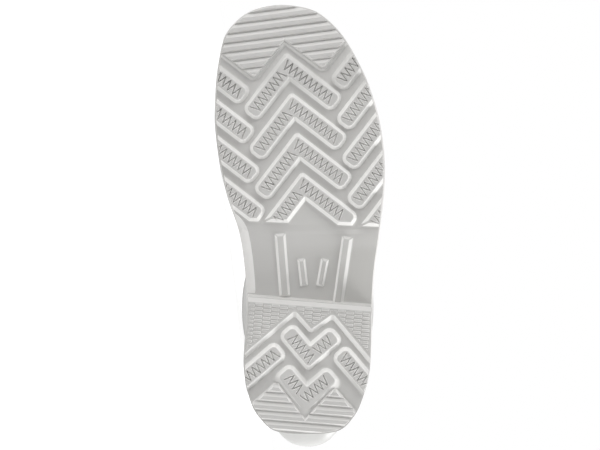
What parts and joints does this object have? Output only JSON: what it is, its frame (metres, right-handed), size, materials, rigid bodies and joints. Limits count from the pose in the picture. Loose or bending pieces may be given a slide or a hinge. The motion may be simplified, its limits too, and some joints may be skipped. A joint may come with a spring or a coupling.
{
  "type": "safety wellington boot",
  "caption": "Hollow moulded safety wellington boot for the left foot, with a lugged outsole, footbed, collar bead and heel spur, lying empty on its inner side",
  "frame": {"origin": "middle of the overall box, on the floor that the boot lies on", "axes": "the sole faces -Y, the toe points to -X and the leg runs to +Y, with the inner side of the boot down on the floor and the outer side up to +Z"},
  "size_m": [0.3126, 0.3728, 0.115],
  "materials": {
    "outsole": "pale grey moulded sole, satin",
    "upper": "white moulded boot plastic, satin",
    "insole": "grey felt footbed"
  },
  "bodies": {
    "root": {"outsole": "outsole", "upper": "upper", "insole": "insole"}
  },
  "joints": []
}
